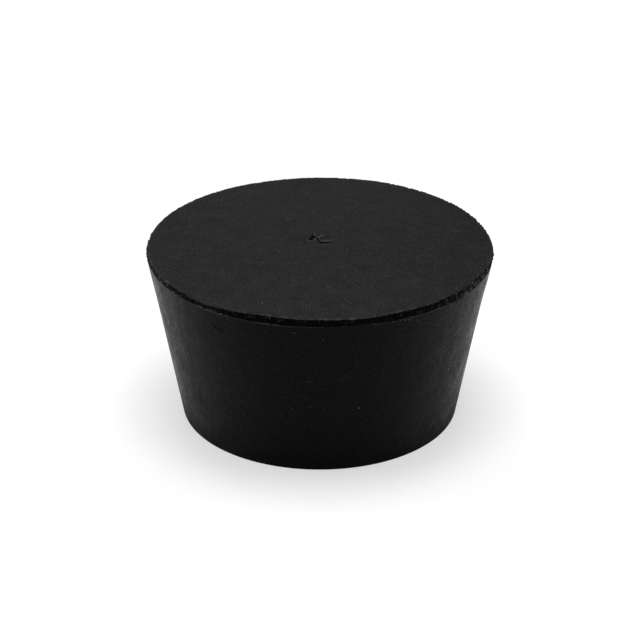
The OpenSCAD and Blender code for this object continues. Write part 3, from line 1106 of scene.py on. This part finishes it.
class STOPPER_OT_lint(Operator):
    """Lays the caught fibres and the larger specks of dust on the rubber"""

    bl_idname = "stopper.lint"
    bl_label = "Lint and Dust"

    def speck(self, place, radius, draws):
        """A small uneven lump, squashed and turned by random draws."""
        clear_selection()
        bpy.ops.mesh.primitive_ico_sphere_add(subdivisions=1, radius=radius, location=place)
        bit = bpy.context.object
        bit.scale = (1, draws.uniform(0.5, 0.9), draws.uniform(0.4, 0.7))
        bit.rotation_euler = [draws.uniform(0, math.pi) for _ in range(3)]
        bpy.ops.object.transform_apply(location=True, rotation=True, scale=True)
        return bit

    def execute(self, context):
        scene = context.scene
        sizes, rim, looks = scene.stopper_sizes, scene.stopper_rim, scene.stopper_looks
        lint = lint_material("lint", looks.lint)
        fine_lint = lint_material("fine_lint", looks.hair)
        draws = random.Random(5)

        def along_side(points, radius):
            """Places on the side, each lifted off it by about the fibre's radius or more."""
            return [on_side(sizes, turn, z, radius * draws.uniform(0.9, 3)) for turn, z in points]

        curl = fibre("lint_curl", along_side(CURL, CURL_R), CURL_R)
        finish_piece(join_as("lint_curl", [curl]), fine_lint)

        strands = [fibre("strand", along_side(points, STRAND_R), STRAND_R) for points in TANGLE]
        strands += [fibre("fleck", along_side(points, FLECK_R), FLECK_R) for points in SIDE_FLECKS]
        for points in BAND_SLIVERS:
            places = [on_band(sizes, rim, turn, z, SLIVER_LIFT) for turn, z in points]
            strands.append(fibre("sliver", places, SLIVER_R))
        finish_piece(join_as("lint_tangle", strands), fine_lint)

        hairs = [fibre("hair", along_side(points, CURL_R), SIDE_HAIR_R) for points in SIDE_HAIRS]
        for points in FACE_HAIRS:
            places = [on_face(sizes, x, y, FACE_HAIR_R) for x, y in points]
            hairs.append(fibre("hair", places, FACE_HAIR_R))
        finish_piece(join_as("fine_hairs", hairs), fine_lint)

        dark = fibre("dark_hair", along_side(DARK_HAIR, DARK_HAIR_R), DARK_HAIR_R)
        x, y, r = DARK_DOT
        dot = self.speck(on_face(sizes, x, y), r * MM, draws)
        finish_piece(join_as("dark_hair", [dark, dot]), lint_material("dark_fibre", looks.dark_hair))

        specks = []
        for turn, z, r in SIDE_SPECKS:
            place = on_side(sizes, turn, z, SPECK_LIFT * r * MM)
            specks.append(self.speck(place, r * MM, draws))
        for turn, z, r in BAND_BITS:
            place = on_band(sizes, rim, turn, z, BIT_LIFT)
            specks.append(self.speck(place, r * MM, draws))
        for x, y, r in FACE_SPECKS:
            place = on_face(sizes, x, y, SPECK_LIFT * r * MM)
            specks.append(self.speck(place, r * MM, draws))
        finish_piece(join_as("dust_specks", specks), lint)
        return {"FINISHED"}


# ---------------------------------------------------------------- floor, lamps and camera


# Soft panels round the stopper: name, turn and climb in degrees, width and height in metres, and how
# brightly the panel shines.
PANELS = (
    ("overhead_softbox", 90, 88, (0.42, 0.42), 11.0),
    ("front_panel", 270, 50, (0.6, 0.5), 1.0),
    ("left_panel", 168, 5, (0.5, 0.13), 20.0),
    ("right_panel", 19, 5, (0.5, 0.13), 15.4),
    ("back_panel", 100, 18, (0.6, 0.35), 1.9),
)
# The place near the stopper's middle that the panels are aimed at.
AIM = Vector((0, 0, 0.012))
FLOOR_R = 6
# The floor lies a hair below the small end, so that the two never share a plane.
FLOOR_DROP = 0.02 * MM
# How bright the world is where the camera or a glossy surface sees it. It lights nothing else.
WORLD_SEEN = 0.99


def seen_directly(tree, place):
    """1 for what the camera, a glossy surface or a clear one sees, and 0 for light on the object."""
    path = node(tree, "ShaderNodeLightPath", place).outputs
    x, y = place
    either = math_node(tree, "MAXIMUM", path["Is Camera Ray"], path["Is Glossy Ray"], (x + 200, y))
    return math_node(tree, "MAXIMUM", either, path["Is Transmission Ray"], (x + 400, y))


class STOPPER_OT_stage(Operator):
    """Lays the pale floor, hangs the soft lamps and sets up the camera"""

    bl_idname = "stopper.stage"
    bl_label = "Floor, Lamps and Camera"

    def lay_floor(self, stage):
        clear_selection()
        bpy.ops.mesh.primitive_circle_add(
            vertices=96, radius=FLOOR_R, fill_type="NGON", location=(0, 0, -FLOOR_DROP))
        floor = bpy.context.object
        floor.name = "floor"
        paint = bpy.data.materials.new("pale_floor")
        paint.use_nodes = True
        tree = paint.node_tree
        tree.nodes.remove(tree.nodes["Principled BSDF"])
        matte = node(tree, "ShaderNodeBsdfDiffuse", (-200, 100))
        glow = node(tree, "ShaderNodeEmission", (-200, -100))
        lit = node(tree, "ShaderNodeAddShader", (0, 0))
        seen = seen_directly(tree, (-900, -300))
        strength = times(tree, seen, stage.floor_glow, (-350, -200))
        tone = mix_value(tree, seen, stage.floor_tone, stage.floor_seen, (-400, 100))
        tree.links.new(tone, matte.inputs["Color"])
        tree.links.new(strength, glow.inputs["Strength"])
        tree.links.new(matte.outputs[0], lit.inputs[0])
        tree.links.new(glow.outputs[0], lit.inputs[1])
        tree.links.new(lit.outputs[0], tree.nodes["Material Output"].inputs["Surface"])
        floor.data.materials.append(paint)

    def hang_world(self, scene):
        world = bpy.data.worlds.new("studio")
        scene.world = world
        world.use_nodes = True
        tree = world.node_tree
        back = tree.nodes["Background"]
        back.inputs["Color"].default_value = WHITE
        seen = seen_directly(tree, (-900, 0))
        tree.links.new(times(tree, seen, WORLD_SEEN, (-200, 0)), back.inputs["Strength"])

    def hang_panel(self, scene, name, turn, climb, size, brightness):
        """A soft panel round the stopper, aimed at its middle. Turn and climb are in degrees."""
        turn, climb = math.radians(turn), math.radians(climb)
        across = math.cos(climb)
        outward = Vector((math.cos(turn) * across, math.sin(turn) * across, math.sin(climb)))
        place = scene.stopper_stage.lamp_reach * outward
        width, height = size
        data = bpy.data.lights.new(name, "AREA")
        data.shape = "RECTANGLE"
        data.size, data.size_y = width, height
        data.energy = brightness * math.pi * width * height
        made = bpy.data.objects.new(name, data)
        made.location = place
        made.rotation_euler = (AIM - place).to_track_quat("-Z", "Y").to_euler()
        scene.collection.objects.link(made)

    def set_camera(self, scene, stage):
        data = bpy.data.cameras.new("camera")
        data.sensor_width = 36
        data.lens = stage.lens / MM
        data.clip_start = 0.01
        camera = bpy.data.objects.new("camera", data)
        camera.location = (stage.camera_side, -stage.camera_back, stage.camera_up)
        camera.rotation_euler = (math.pi / 2 - stage.camera_tilt, 0, 0)
        scene.collection.objects.link(camera)
        scene.camera = camera
        scene.view_settings.view_transform = "Standard"

    def execute(self, context):
        scene = context.scene
        stage = scene.stopper_stage
        self.lay_floor(stage)
        self.hang_world(scene)
        for panel in PANELS:
            self.hang_panel(scene, *panel)
        self.set_camera(scene, stage)
        return {"FINISHED"}


class STOPPER_PT_panel(Panel):
    """Lists the steps that dress the stopper"""

    bl_idname = "STOPPER_PT_panel"
    bl_label = "Rubber Stopper"
    bl_space_type = "VIEW_3D"
    bl_region_type = "UI"
    bl_category = "Stopper"

    def draw(self, context):
        for step in STEPS:
            self.layout.operator(step.bl_idname)


STEPS = (STOPPER_OT_stage, STOPPER_OT_body, STOPPER_OT_lint)
GROUPS = (
    ("stopper_sizes", StopperSizes),
    ("stopper_rim", StopperRim),
    ("stopper_scar", StopperScar),
    ("stopper_looks", StopperLooks),
    ("stopper_stage", StopperStage),
)


def register():
    for name, group in GROUPS:
        bpy.utils.register_class(group)
        setattr(bpy.types.Scene, name, PointerProperty(type=group))
    for step in STEPS:
        bpy.utils.register_class(step)
    bpy.utils.register_class(STOPPER_PT_panel)


def unregister():
    bpy.utils.unregister_class(STOPPER_PT_panel)
    for step in reversed(STEPS):
        bpy.utils.unregister_class(step)
    for name, group in reversed(GROUPS):
        delattr(bpy.types.Scene, name)
        bpy.utils.unregister_class(group)


def main():
    register()
    bpy.ops.stopper.stage()
    bpy.ops.stopper.body()
    bpy.ops.stopper.lint()


if __name__ == "__main__":
    main()
